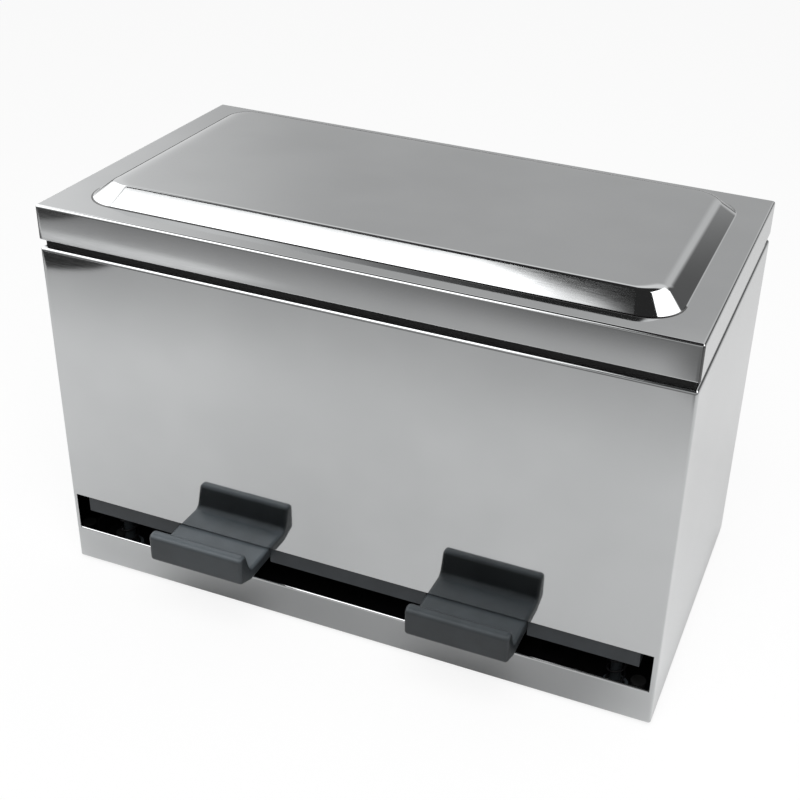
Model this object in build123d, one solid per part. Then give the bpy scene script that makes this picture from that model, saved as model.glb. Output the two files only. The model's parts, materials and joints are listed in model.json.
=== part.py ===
from build123d import *
import os
from math import atan2, cos, hypot, pi, radians, sin, tan

# Chopstick box in folded stainless sheet: a hinged lid with a pressed panel, a sloping
# hopper floor, and a press-down rocker that lets a pair of sticks out through the front
# slot into two cradles. Sizes are in millimetres and +Z is up.
#
# Inside this script x = 0 is the middle of the width, y = 0 is the outer face of the
# front, and z = 0 is the lower edge of the case. write_node() moves every piece so that
# the origin is the middle of the whole object's box, at the height of the feet.

# ---- case -------------------------------------------------------------------------
box_width = 280.0
box_depth = 148.0
case_height = 160.5
sheet = 0.8              # stainless sheet of case, lid, base and hopper
corner_bend = 2.0        # outside radius of the upright corners
fold_bend = 0.7          # outside radius of the folds along the top
collar_inset = 2.0       # collar's outer face, in from the case's outer face
collar_back = 7.0        # collar and ledge stop this far short of the back
collar_play = 0.3        # collar's rim to the lid's underside
slot_bottom = 16.8
slot_height = 18.5
slot_end = 2.2           # slot's end to the side of the case, clear of the corner's bend
slot_edge = 0.35         # burnished outer edges of the slot
base_flange = 10.0
flange_setback = 14.0    # flanges stay this far from the upright corners
back_tab_width = 10.0
back_tab_low = (14.0, 84.0)
back_tab_high = (110.0, 156.0)

# ---- lid --------------------------------------------------------------------------
lid_gap = 3.5            # open line between the case and the lid's skirt
skirt_height = 15.5
lid_corner_bend = 2.0
panel_margin_front = 11.0
panel_margin_side = 13.0
panel_margin_back = 11.0
panel_rise = 7.0
panel_slope_run = 9.0    # plan width of the pressed slope
panel_corner = 15.0      # plan radius of the panel's foot
panel_crown_corner = 9.6  # plan radius of its crown
panel_crown_bend = 3.0
panel_foot_bend = 2.4

# ---- lid hinge --------------------------------------------------------------------
knuckle_radius = 1.5
hinge_pin_radius = 0.8
pin_play = 0.05
hinge_proud = 1.0        # knuckles stand this far out of the back
leaf_thickness = 0.6
leaf_height = 12.0
hinge_end = 9.0          # hinge's ends to the sides of the case
knuckle_count = 7
knuckle_play = 0.5       # along the pin, between neighbours
rivet_radius = 1.2
rivet_head_radius = 2.4
rivet_head = 0.7
fastener_sides = 12      # small fasteners and their holes have this many faces
hinge_rivet_inset = 26.0  # outer rivets to the sides of the case
hinge_rivet_count = 4

# ---- hopper -----------------------------------------------------------------------
throat_width = 17.2      # between the front and the hopper's lip
hopper_low = 47.0        # floor height at the lip
hopper_high = 95.0       # floor height at the back
hopper_lip_play = 1.2    # lip's lower edge to the gate
hopper_flange = 12.0
hopper_wing_setback = 6.0  # side wings start this far behind the lip
stir_slot_width = 5.0
stir_slot_front = 61.0
stir_slot_back = 92.0

# ---- rocker -----------------------------------------------------------------------
pivot_y = 50.0
pivot_z = 34.0
rocker_travel = 11.0     # degrees, stops at full press
gate_end = 8.0           # gate's ends to the sides of the case
gate_depth = 24.8
gate_height = 7.8
gate_play = 0.4          # gate to the inside of the front
gate_plate = 3.0
gate_wall = 2.4
slot_play = 0.3          # gate's top to the slot's upper edge
gate_edge = 0.6
cradle_width = 45.5
cradle_spacing = 121.0   # centre to centre
cradle_reach = 24.4      # lip's outer face, out from the front
cradle_thickness = 6.0
cradle_lip_height = 10.4  # lip's top above the plate
cradle_lip_top = 5.2      # lip's thickness at its top
cradle_trough = 10.4      # trough's low corner, back from the lip's outer face
cradle_fall = 0.6         # plate's drop from the slot to the trough
cradle_crown = 0.3        # lip's top falls by this towards its outer face
cradle_toe = 4.0          # lip's lower edge above the plate's underside
cradle_wall = 2.4
cradle_under_fall = 0.4   # underside's drop from the slot to the trough
cradle_rib = 1.6
cradle_rib_count = 2
cradle_seat_play = 0.2
cradle_tongue = 14.6      # tongue's length in the gate's notch
cradle_foot = 6.8         # screwed foot behind the tongue
cradle_foot_thickness = 3.0
cradle_end_round = 1.0
screw_radius = 1.3
screw_play = 0.05
screw_head_radius = 2.5
screw_head = 1.5
screw_skin = 0.6          # plastic left above the screw's tip
cradle_screw_spacing = 26.0

arm_plate = 2.0
arm_play = 0.6            # arm to the gate's lower edge and rear wall
arm_rise = 2.0            # arm's flat top above the axle's middle
arm_step = 2.4            # run of the arm's rise behind the gate
arm_shoulder = 5.0        # arm's flat top ends this far ahead of the axle
arm_neck = 5.6            # edge of the arm over and under the axle's middle
fin_setback = 6.0         # fin's tip to the floor slot's back end
fin_length = 11.0
fin_step = 1.6            # arm's back under the floor, ahead of the fin
fin_depth = 14.0          # tail's upright end, below the fin's tip
arm_inset = 36.4          # arm's plate to the side of the case
hub_radius = 6.0
hub_length = 10.0
axle_radius = 3.0
axle_play = 0.05
axle_fit = 0.02           # fixed axle in its brackets
arm_tab_width = 10.0
arm_tab_thickness = 1.5
arm_screw_spacing = 8.0

# ---- brackets, springs, buffers, feet ---------------------------------------------
bracket_plate = 1.5
bracket_side_play = 0.4
bracket_height = 44.0
bracket_foot = 12.0
bracket_width = 18.0
bracket_reach = 22.0      # buffer tab's front edge, ahead of the axle
tab_depth = 10.0
buffer_radius = 3.2
buffer_play = 0.3
clip_thickness = 0.8
clip_radius = 5.0
clip_groove = 0.6         # groove's depth
clip_play = 0.1
axle_overhang = 3.5
bracket_rivet_spacing = 12.0
spring_inset = 19.5       # spring's axis to the side of the case
spring_y = 13.5
spring_radius = 3.9       # to the wire's middle
spring_wire = 1.0
spring_turns = 5
spring_steps = 12         # straight steps in each turn
cup_radius = 6.0
cup_floor = 2.0
cup_rim = 1.0             # rim's height round the spring's foot
cup_play = 0.2            # rim to the spring
post_radius = 2.5
press_play = 0.4          # post's top to the gate at full press
foot_radius = 7.0
foot_height = 2.0
foot_inset_x = 10.5
foot_inset_y = 20.0
foot_stem_radius = 2.5
foot_barb_radius = 3.5
foot_barb = 2.0

# ---- places worked out from the sizes ----------------------------------------------
half_width = box_width / 2
inner_half = half_width - sheet
hinge_half = half_width - hinge_end
gate_half = half_width - gate_end
arm_middle = half_width - arm_inset
spring_x = half_width - spring_inset
back_inside = box_depth - sheet
slot_top = slot_bottom + slot_height
skirt_bottom = case_height + lid_gap
lid_top = skirt_bottom + skirt_height
hinge_y = box_depth + hinge_proud - knuckle_radius
hinge_z = case_height + lid_gap / 2
gate_top = slot_top - slot_play
gate_front = sheet + gate_play
gate_back = gate_front + gate_depth
gate_under = gate_top - gate_plate
gate_bottom = gate_top - gate_height
lip_y = sheet + throat_width
lip_bottom = gate_top + hopper_lip_play
floor_back = back_inside - sheet
floor_slope = (hopper_high - hopper_low) / (floor_back - lip_y)
floor_drop = sheet * hypot(1, floor_slope)
cradle_centre = cradle_spacing / 2
tongue_back = gate_front + cradle_tongue
foot_back = tongue_back + cradle_foot
foot_under = gate_under - cradle_foot_thickness
arm_top = pivot_z + arm_rise
hub_outer = arm_middle + hub_length / 2
bracket_inner = hub_outer + bracket_side_play
bracket_outer = bracket_inner + bracket_plate
axle_half = bracket_outer + axle_overhang
overall_back = box_depth + max(hinge_proud, rivet_head)
middle_y = (overall_back - cradle_reach) / 2


# ---- shared helpers ------------------------------------------------------------------
def write_node(name, shape):
    """Moves a finished piece to the row's origin and writes its STEP file."""
    export_step(Pos(0, -middle_y, foot_height) * shape, f"parts/{name}.step")


def block(x, y, z):
    """Box between the low and high values of x, y and z."""
    size = Box(x[1] - x[0], y[1] - y[0], z[1] - z[0], align=(Align.MIN, Align.MIN, Align.MIN))
    return Pos(x[0], y[0], z[0]) * size


def side_profile(points, radii, x):
    """Solid with an outline drawn in (y, z), extruded along x."""
    outline = make_face(FilletPolyline(*points, radius=radii, close=True))
    return extrude(Plane.YZ.offset(x[0]) * outline, amount=x[1] - x[0])


def upright(radius, x, y, z):
    """Upright cylinder between the low and high values of z."""
    height = z[1] - z[0]
    return Pos(x, y, z[0]) * Cylinder(radius, height, align=(Align.CENTER, Align.CENTER, Align.MIN))


def peg(radius, x, y, z):
    """Upright shank or head of a small fastener, inside its radius."""
    section = RegularPolygon(radius, fastener_sides)
    return extrude(Pos(x, y, z[0]) * section, amount=z[1] - z[0])


def peg_hole(radius, x, y, z):
    """Upright hole for a small fastener, outside its radius."""
    section = RegularPolygon(radius, fastener_sides, major_radius=False)
    return extrude(Pos(x, y, z[0]) * section, amount=z[1] - z[0])


def lying(shape, y, z):
    """Upright shape laid along x, with its axis at y and z."""
    return Pos(0, y, z) * Rot(0, 90, 0) * shape


def along_x(radius, y, z, x):
    """Cylinder along x."""
    return lying(upright(radius, 0, 0, x), y, z)


def case_plan(inset, back, bend):
    """Plan outline of the case, set in from its outer faces, with round front corners."""
    side = half_width - inset
    radius = max(bend - inset, 0.3)
    corners = [(-side, inset), (side, inset), (side, back), (-side, back)]
    return make_face(FilletPolyline(*corners, radius=[radius, radius, 0, 0], close=True))


def standing(outline, z):
    """Plan outline extruded between two heights."""
    return extrude(Pos(0, 0, z[0]) * outline, amount=z[1] - z[0])


def mirrored(shape):
    """Shape on the other side of the middle of the width."""
    return mirror(shape, about=Plane.YZ)


def floor_height(y):
    """Upper face of the hopper floor."""
    return hopper_low + (y - lip_y) * floor_slope


def hinge_rivet_places():
    """Rivet places along the hinge."""
    first = half_width - hinge_rivet_inset
    pitch = 2 * first / (hinge_rivet_count - 1)
    return [-first + pitch * i for i in range(hinge_rivet_count)]


# ---- case ---------------------------------------------------------------------------
def case_shell():
    """Front and sides folded from one sheet, with a ledge and a collar folded at the top."""
    wall = standing(case_plan(0, box_depth, corner_bend), (0, case_height))
    wall -= standing(case_plan(sheet, box_depth + 1, corner_bend), (-1, case_height + 1))
    folds_back = box_depth - collar_back
    collar_inner = collar_inset + sheet
    ledge_z = (case_height - sheet, case_height)
    ledge = standing(case_plan(sheet, folds_back, corner_bend), ledge_z)
    ledge -= standing(case_plan(collar_inner, folds_back + 1, corner_bend), ledge_z)
    collar_z = (case_height - sheet, lid_top - sheet - collar_play)
    collar = standing(case_plan(collar_inset, folds_back, corner_bend), collar_z)
    collar -= standing(case_plan(collar_inner, folds_back + 1, corner_bend), collar_z)
    shell = wall + ledge + collar
    edge_z = case_height - fold_bend / 2
    top_edges = [
        e for e in shell.edges()
        if e.bounding_box().min.Z > edge_z and e.bounding_box().max.Z < case_height + 0.01
        and on_outer_face(e)
    ]
    shell = fillet(top_edges, fold_bend)
    slot_half = half_width - slot_end
    shell -= block((-slot_half, slot_half), (-1, sheet + 1), (slot_bottom, slot_top))
    slot_edges = [
        e for e in shell.edges().filter_by(Axis.X)
        if abs(e.center().Y) < 0.01 and slot_bottom - 0.01 < e.center().Z < slot_top + 0.01
    ]
    return fillet(slot_edges, slot_edge)


def on_outer_face(edge):
    """Whether an edge lies on the outside of the front, the sides or a front corner."""
    middle = edge @ 0.5
    at_side = abs(abs(middle.X) - half_width) < 0.01
    at_front = abs(middle.Y) < 0.01
    at_corner = abs(middle.X) > half_width - corner_bend * 0.4 and middle.Y < corner_bend * 0.4
    runs = edge.length > corner_bend
    return runs and (at_side or at_front or at_corner)


def base_plate():
    """Floor of the case: a shallow tray spot-welded inside the walls."""
    base = standing(case_plan(sheet, back_inside, corner_bend), (0, sheet))
    flange_z = (sheet, sheet + base_flange)
    run = inner_half - flange_setback
    base += block((-run, run), (sheet, 2 * sheet), flange_z)
    base += block((-run, run), (back_inside - sheet, back_inside), flange_z)
    side_y = (flange_setback, back_inside - flange_setback)
    side = block((inner_half - sheet, inner_half), side_y, flange_z)
    base += side + mirrored(side)
    for x, y in foot_places():
        base -= peg_hole(foot_stem_radius, x, y, (-1, sheet + 1))
    for x, y in bracket_rivet_places():
        base -= peg_hole(rivet_radius + screw_play, x, y, (-1, sheet + 1))
    return base


def back_panel():
    """Back of the case, with tabs folded forward against the sides."""
    panel = block((-inner_half, inner_half), (back_inside, box_depth), (0, case_height))
    for low, high in (back_tab_low, back_tab_high):
        tab_y = (back_inside - back_tab_width, back_inside)
        tab = block((inner_half - sheet, inner_half), tab_y, (low, high))
        panel += tab + mirrored(tab)
    for x in hinge_rivet_places():
        panel -= cross_hole(x, case_height - leaf_height / 2)
    return panel


def cross_hole(x, z):
    """Rivet hole along y through the back of case or lid."""
    hole = peg_hole(rivet_radius + screw_play, 0, 0, (-3 * sheet, 3 * sheet))
    return Pos(x, back_inside, z) * Rot(90, 0, 0) * hole


def hopper_floor():
    """Sloping floor that leads the sticks to the throat, with a lip, flanges and two slots."""
    flange_top = hopper_high + hopper_flange
    under_front = floor_height(lip_y + sheet) - floor_drop
    under_back = hopper_high - floor_drop
    slope_points = [
        (lip_y, lip_bottom),
        (lip_y + sheet, lip_bottom),
        (lip_y + sheet, under_front),
        (floor_back, under_back),
        (back_inside, under_back),
        (back_inside, flange_top),
        (floor_back, flange_top),
        (floor_back, hopper_high),
        (lip_y, hopper_low),
    ]
    bends = [0, 0, 0.4, 0.4, 0, 0, 0, 0.4, 1.0]
    floor = side_profile(slope_points, bends, (-inner_half, inner_half))
    start, end = lip_y + hopper_wing_setback, floor_back - flange_setback
    wing_points = [
        (start, floor_height(start) - sheet / 2),
        (end, floor_height(end) - sheet / 2),
        (end, floor_height(end) + hopper_flange),
        (start, floor_height(start) + hopper_flange),
    ]
    wing = side_profile(wing_points, [0, 0, 3, 3], (inner_half - sheet, inner_half))
    floor += wing + mirrored(wing)
    slot_x = (arm_middle - stir_slot_width / 2, arm_middle + stir_slot_width / 2)
    slot = block(slot_x, (stir_slot_front, stir_slot_back), (hopper_low, hopper_high))
    return floor - slot - mirrored(slot)


# ---- lid ----------------------------------------------------------------------------
def panel_form(lowered):
    """Raised panel as a solid: a tapered block, lowered for the inside of the sheet."""
    run = panel_slope_run
    inset = lowered * tan(atan2(panel_rise, run) / 2)
    side = half_width - panel_margin_side - inset
    front = panel_margin_front + inset
    back = box_depth - panel_margin_back - inset
    foot_z = lid_top - sheet - lowered
    crown_z = lid_top + panel_rise - lowered
    grow = run * sheet / panel_rise
    foot = Rectangle(2 * (side + grow), back - front + 2 * grow)
    foot = fillet(foot.vertices(), panel_corner + grow)
    crown = Rectangle(2 * (side - run), back - front - 2 * run)
    crown = fillet(crown.vertices(), panel_crown_corner)
    middle = (front + back) / 2
    return loft([Pos(0, middle, foot_z) * foot, Pos(0, middle, crown_z) * crown], ruled=True)


def lid():
    """Lid pressed from one sheet, with a skirt all round."""
    plan = Rectangle(box_width, box_depth)
    plan = fillet(plan.vertices(), lid_corner_bend)
    inner = Rectangle(box_width - 2 * sheet, box_depth - 2 * sheet)
    inner = fillet(inner.vertices(), lid_corner_bend - sheet)
    centre = Pos(0, box_depth / 2, 0)
    outer = standing(centre * plan, (skirt_bottom, lid_top))
    rim = outer.faces().sort_by(Axis.Z)[-1]
    outer = fillet(rim.edges(), fold_bend)
    panel = panel_form(0)
    crown = panel.faces().sort_by(Axis.Z)[-1]
    outer += fillet(crown.edges(), panel_crown_bend)
    outer = soften_foot(outer)
    hollow = standing(centre * inner, (skirt_bottom - 1, lid_top - sheet))
    hollow += panel_form(sheet)
    pressed = outer - hollow
    for x in hinge_rivet_places():
        pressed -= cross_hole(x, lid_rivet_z())
    return pressed


def soften_foot(form):
    """Rounds the line where the raised panel leaves the flat rim."""
    foot = [
        e for e in form.edges()
        if abs((e @ 0.5).Z - lid_top) < 0.01 and abs((e @ 0).Z - lid_top) < 0.01
        and abs((e @ 0.5).X) < half_width - panel_margin_side + 0.5
        and panel_margin_front - 0.5 < (e @ 0.5).Y < box_depth - panel_margin_back + 0.5
    ]
    return fillet(foot, panel_foot_bend)


def lid_rivet_z():
    """Height of the rivets in the lid's rear skirt."""
    return skirt_bottom + leaf_height / 2


# ---- lid hinge ----------------------------------------------------------------------
def knuckle_spans(first):
    """Spans along x of every second knuckle, from the first (0) or the second (1)."""
    pitch = 2 * hinge_half / knuckle_count
    gap = knuckle_play / 2
    starts = [-hinge_half + pitch * i for i in range(first, knuckle_count, 2)]
    return [(start + gap, start + pitch - gap) for start in starts]


def hinge_leaf(first, z, toward):
    """Leaf inside the back, with its share of the knuckles rolled round the pin."""
    leaf_y = (back_inside - leaf_thickness, back_inside)
    leaf = block((-hinge_half, hinge_half), leaf_y, z)
    neck_z = sorted((hinge_z + toward * knuckle_radius * 0.7, z[0] if toward > 0 else z[1]))
    for span in knuckle_spans(first):
        leaf += along_x(knuckle_radius, hinge_y, hinge_z, span)
        leaf += block(span, leaf_y, neck_z)
    bore = peg_hole(hinge_pin_radius + pin_play, 0, 0, (-hinge_half - 1, hinge_half + 1))
    leaf -= lying(bore, hinge_y, hinge_z)
    for x in hinge_rivet_places():
        leaf -= cross_hole(x, (z[0] + z[1]) / 2)
    return leaf


def hinge_body_leaf():
    """Leaf riveted to the back panel."""
    return hinge_leaf(0, (case_height - leaf_height, case_height), -1)


def hinge_lid_leaf():
    """Leaf riveted to the lid's rear skirt."""
    return hinge_leaf(1, (skirt_bottom, skirt_bottom + leaf_height), 1)


def hinge_pin():
    """Pin through every knuckle."""
    pin = peg(hinge_pin_radius, 0, 0, (-hinge_half, hinge_half))
    return lying(pin, hinge_y, hinge_z)


def hinge_rivets(z):
    """Rivets along y through the back sheet and a hinge leaf, with flat heads outside."""
    grip = sheet + leaf_thickness
    group = []
    for x in hinge_rivet_places():
        rivet = peg(rivet_radius, 0, 0, (0, grip))
        rivet += peg(rivet_head_radius, 0, 0, (grip, grip + rivet_head))
        group.append(Pos(x, box_depth - grip, z) * Rot(-90, 0, 0) * rivet)
    return Compound(group)


# ---- rocker -------------------------------------------------------------------------
def gate_bar():
    """Full-width bar behind the slot: a moulded channel, notched for cradles and arms."""
    half = gate_half
    bar = block((-half, half), (gate_front, gate_back), (gate_bottom, gate_top))
    long_edges = bar.edges().filter_by(Axis.X).group_by(Axis.Z)[-1]
    bar = fillet(long_edges, gate_edge)
    hollow_y = (gate_front + gate_wall, gate_back - gate_wall)
    stations = [-half, -arm_middle, -cradle_centre, 0, cradle_centre, arm_middle, half]
    for left, right in zip(stations, stations[1:]):
        bay = (left + gate_wall, right - gate_wall)
        bar -= block(bay, hollow_y, (gate_bottom - 1, gate_under))
    for side in (-1, 1):
        bar -= cradle_notch(side)
        bar -= arm_notch(side)
    for x, y in cradle_screw_places() + arm_screw_places():
        bar -= peg_hole(screw_radius + screw_play, x, y, (gate_bottom - 1, gate_top - screw_skin))
    return bar


def cradle_notch(side):
    """Room in the gate for a cradle's tongue and for its foot."""
    reach = cradle_width / 2 + cradle_seat_play
    x = (side * cradle_centre - reach, side * cradle_centre + reach)
    below = gate_bottom - 1
    notch = block(x, (gate_front - 1, tongue_back + cradle_seat_play), (below, gate_top + 1))
    return notch + block(x, (gate_front, gate_back - gate_wall), (below, gate_under))


def arm_notch(side):
    """Room in the gate's rear wall and ribs for an arm."""
    reach = arm_tab_width + 2 * gate_wall
    x = (side * arm_middle - reach, side * arm_middle + reach)
    z = (gate_bottom - 1, gate_under)
    room = block(x, (gate_front + gate_wall, gate_back - gate_wall), z)
    thin = arm_plate / 2 + cradle_seat_play
    web_x = (side * arm_middle - thin, side * arm_middle + thin)
    return room + block(web_x, (gate_front + gate_wall, gate_back + 1), z)


def cradle_screw_places():
    """Centres of the cradle screws in plan."""
    y = (tongue_back + cradle_seat_play + foot_back) / 2
    half = cradle_screw_spacing / 2
    return [(side * cradle_centre + s * half, y) for side in (-1, 1) for s in (-1, 1)]


def arm_screw_places():
    """Centres of the arm screws in plan."""
    y = (gate_front + gate_back) / 2
    half = arm_screw_spacing / 2
    x = arm_middle + arm_plate / 2 + arm_tab_width / 2
    return [(side * x, y + s * half) for side in (-1, 1) for s in (-1, 1)]


def cradle(side):
    """Press cradle: a plate through the slot, a trough and an upturned lip, cored below."""
    lip = -cradle_reach
    low = gate_top - cradle_fall
    trough = lip + cradle_trough
    top = gate_top + cradle_lip_height
    under = gate_top - cradle_thickness
    outline = [
        (0, gate_top),
        (trough, low),
        (lip + cradle_lip_top, top),
        (lip, top - cradle_crown),
        (lip, under + cradle_toe),
        (trough, under - cradle_under_fall),
        (0, under),
    ]
    radii = [0, 3.0, 1.8, 2.4, 1.6, 3.0, 0]
    half = cradle_width / 2
    body = side_profile(outline, radii, (-half, half))
    ends = body.faces().filter_by(Axis.X)
    outer_ends = [e for f in ends for e in f.edges() if (e @ 0.5).Y < -1]
    body = fillet(outer_ends, cradle_end_round)
    body += block((-half, half), (0, tongue_back), (under, gate_top))
    wall = cradle_wall
    below = under - wall
    core_top = top - 1.5 * wall
    core = [
        (-1, below),
        (-1, gate_top - wall),
        (trough, low - wall),
        (lip + cradle_lip_top - wall / 2, core_top),
        (lip + wall, core_top),
        (lip + wall, below),
    ]
    inner = half - wall
    bays = cradle_rib_count + 1
    bay = (2 * inner - cradle_rib_count * cradle_rib) / bays
    for i in range(bays):
        start = -inner + i * (bay + cradle_rib)
        body -= side_profile(core, [0] * len(core), (start, start + bay))
    body += block((-half, half), (tongue_back, foot_back), (foot_under, gate_under))
    placed = Pos(side * cradle_centre, 0, 0) * body
    for x, y in cradle_screw_places():
        placed -= peg_hole(screw_radius + screw_play, x, y, (foot_under - 1, gate_top + 1))
    return placed


def screw(x, y, head_z, tip_z):
    """Screw driven upward, with its head below."""
    head = peg(screw_head_radius, x, y, (head_z - screw_head, head_z))
    return head + peg(screw_radius, x, y, (head_z, tip_z))


def cradle_screws():
    """Screws that hold the cradles to the gate."""
    tip = gate_top - screw_skin
    return Compound([screw(x, y, foot_under, tip) for x, y in cradle_screw_places()])


def arm_screws():
    """Screws that hold the arms to the gate."""
    head, tip = gate_under - arm_tab_thickness, gate_top - screw_skin
    return Compound([screw(x, y, head, tip) for x, y in arm_screw_places()])


def arm():
    """Right arm: plate, hub, screwed tab, and a tail whose fin works in the floor's slot."""
    front = gate_front + 2 * gate_wall
    under = gate_bottom + arm_play
    fin_y = stir_slot_back - fin_setback
    fin_z = floor_height(fin_y) - floor_drop
    neck_y = fin_y - fin_length
    neck_z = floor_height(neck_y) - floor_drop - fin_step
    outline = [
        (front, gate_under),
        (gate_back + arm_play, gate_under),
        (gate_back + arm_play + arm_step, arm_top),
        (pivot_y - arm_shoulder, arm_top),
        (pivot_y, pivot_z + arm_neck),
        (neck_y, neck_z),
        (fin_y, fin_z),
        (fin_y + arm_play, fin_z - fin_depth),
        (pivot_y + hub_radius, pivot_z - arm_neck),
        (pivot_y - hub_radius, pivot_z - arm_neck),
        (gate_back, under),
        (front, under),
    ]
    radii = [0, 1.0, 1.0, 3.0, 6.0, 3.0, 2.0, 4.0, 4.0, 4.0, 4.0, 1.0]
    web_x = (arm_middle - arm_plate / 2, arm_middle + arm_plate / 2)
    body = side_profile(outline, radii, web_x)
    body += along_x(hub_radius, pivot_y, pivot_z, (arm_middle - hub_length / 2, hub_outer))
    tab_x = (web_x[1], web_x[1] + arm_tab_width)
    tab_y = (front, gate_back - 2 * gate_wall)
    body += block(tab_x, tab_y, (gate_under - arm_tab_thickness, gate_under))
    body -= along_x(axle_radius + axle_play, pivot_y, pivot_z, (0, half_width))
    for x, y in arm_screw_places():
        body -= peg_hole(screw_radius + screw_play, x, y, (gate_bottom - 1, gate_top))
    return body


def axle():
    """Fixed rod across the brackets, grooved for its clips."""
    rod = along_x(axle_radius, pivot_y, pivot_z, (-axle_half, axle_half))
    groove_x = (bracket_outer + clip_play, bracket_outer + clip_play * 3 + clip_thickness)
    groove = along_x(axle_radius + 1, pivot_y, pivot_z, groove_x)
    groove -= lying(peg(axle_radius - clip_groove, 0, 0, groove_x), pivot_y, pivot_z)
    return rod - groove - mirrored(groove)


def axle_clips():
    """Open spring clips in the axle's grooves."""
    x = (bracket_outer + 2 * clip_play, bracket_outer + 2 * clip_play + clip_thickness)
    clip = along_x(clip_radius, pivot_y, pivot_z, x)
    clip -= lying(peg_hole(axle_radius - clip_groove + clip_play, 0, 0, x), pivot_y, pivot_z)
    mouth = axle_radius * 0.7
    clip -= block(x, (pivot_y - mouth, pivot_y + mouth), (pivot_z - clip_radius - 1, pivot_z))
    return Compound([clip, mirrored(clip)])


# ---- brackets, springs, buffers, feet --------------------------------------------------
def bracket():
    """Right axle bracket: an upright plate with a riveted foot and a buffer tab."""
    low, high = pivot_y - bracket_width / 2, pivot_y + bracket_width / 2
    front = pivot_y - bracket_reach
    x = (bracket_inner, bracket_outer)
    outline = [
        (low, sheet),
        (high, sheet),
        (high, bracket_height),
        (front, bracket_height),
        (front, bracket_height - 5.0),
        (low, pivot_z - 3.0),
    ]
    body = side_profile(outline, [0, 0, 5.0, 0, 1.0, 5.0], x)
    body += block((x[1], x[1] + bracket_foot), (low, high), (sheet, sheet + bracket_plate))
    tab_x = (arm_middle - buffer_radius - 1, x[0])
    body += block(tab_x, (front, front + tab_depth), (bracket_height - bracket_plate, bracket_height))
    body -= along_x(axle_radius + axle_fit, pivot_y, pivot_z, (0, half_width))
    for rivet_x, rivet_y in bracket_rivet_places():
        body -= peg_hole(rivet_radius + screw_play, rivet_x, rivet_y, (0, 2 * sheet + bracket_plate))
    return body


def bracket_rivet_places():
    """Centres of the bracket rivets in plan."""
    x = bracket_outer + bracket_foot / 2
    half = bracket_rivet_spacing / 2
    return [(side * x, pivot_y + s * half) for side in (-1, 1) for s in (-1, 1)]


def bracket_rivets():
    """Rivets through the base and the brackets' feet."""
    top = sheet + bracket_plate
    group = []
    for x, y in bracket_rivet_places():
        rivet = peg(rivet_radius, x, y, (0, top))
        rivet += peg(rivet_head_radius, x, y, (-rivet_head, 0))
        group.append(rivet + peg(rivet_head_radius, x, y, (top, top + rivet_head)))
    return Compound(group)


def stop_buffers():
    """Rubber buffers under the brackets' tabs, which the arms rest against."""
    y = pivot_y - bracket_reach + tab_depth / 2
    z = (arm_top + buffer_play, bracket_height - bracket_plate)
    return Compound([upright(buffer_radius, side * arm_middle, y, z) for side in (-1, 1)])


def return_spring(side):
    """Compression spring that lifts the gate."""
    low = sheet + cup_floor + spring_wire / 2
    high = gate_under - spring_wire / 2
    count = spring_turns * spring_steps
    path = []
    for i in range(count + 1):
        angle = 2 * pi * i / spring_steps
        place = (spring_radius * cos(angle), spring_radius * sin(angle), (high - low) * i / count)
        path.append(place)
    coil = Polyline(*path)
    section = Plane(origin=coil @ 0, z_dir=coil % 0) * RegularPolygon(spring_wire / 2, 4)
    wire = sweep(section, path=coil, transition=Transition.RIGHT)
    return Pos(side * spring_x, spring_y, low) * wire


def spring_seats():
    """Cups with a post inside each spring, which also stops the gate at full press."""
    lever = pivot_y - spring_y + post_radius
    press = radians(rocker_travel)
    drop = lever * sin(press) - (pivot_z - gate_under) * (1 - cos(press))
    post_top = gate_under - drop - press_play
    floor_z = sheet + cup_floor
    cup_bore = spring_radius + spring_wire / 2 + cup_play
    group = []
    for side in (-1, 1):
        x = side * spring_x
        seat = peg(cup_radius, x, spring_y, (sheet, floor_z + cup_rim))
        seat -= peg_hole(cup_bore, x, spring_y, (floor_z, floor_z + 2 * cup_rim))
        seat += peg(post_radius, x, spring_y, (sheet, post_top))
        group.append(seat)
    return Compound(group)


def foot_places():
    """Centres of the feet in plan."""
    x = half_width - foot_inset_x
    return [(sx * x, y) for sx in (-1, 1) for y in (foot_inset_y, box_depth - foot_inset_y)]


def rubber_feet():
    """Push-in feet: a pad below the base, and a stem through it with a barb above."""
    group = []
    for x, y in foot_places():
        foot = upright(foot_radius, x, y, (-foot_height, 0))
        foot += peg(foot_stem_radius, x, y, (0, sheet))
        group.append(foot + peg(foot_barb_radius, x, y, (sheet, sheet + foot_barb)))
    return Compound(group)


def build():
    """Writes every node."""
    os.makedirs("parts", exist_ok=True)
    right_arm, right_bracket = arm(), bracket()
    nodes = {
        "case_shell": case_shell(),
        "back_panel": back_panel(),
        "base_plate": base_plate(),
        "hopper_floor": hopper_floor(),
        "lid": lid(),
        "hinge_body_leaf": hinge_body_leaf(),
        "hinge_lid_leaf": hinge_lid_leaf(),
        "hinge_pin": hinge_pin(),
        "hinge_rivets_body": hinge_rivets(case_height - leaf_height / 2),
        "hinge_rivets_lid": hinge_rivets(lid_rivet_z()),
        "gate_bar": gate_bar(),
        "left_cradle": cradle(-1),
        "right_cradle": cradle(1),
        "cradle_screws": cradle_screws(),
        "left_arm": mirrored(right_arm),
        "right_arm": right_arm,
        "arm_screws": arm_screws(),
        "axle": axle(),
        "axle_clips": axle_clips(),
        "left_bracket": mirrored(right_bracket),
        "right_bracket": right_bracket,
        "bracket_rivets": bracket_rivets(),
        "left_return_spring": return_spring(-1),
        "right_return_spring": return_spring(1),
        "spring_seats": spring_seats(),
        "stop_buffers": stop_buffers(),
        "rubber_feet": rubber_feet(),
    }
    for name, shape in nodes.items():
        write_node(name, shape)


build()
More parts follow.
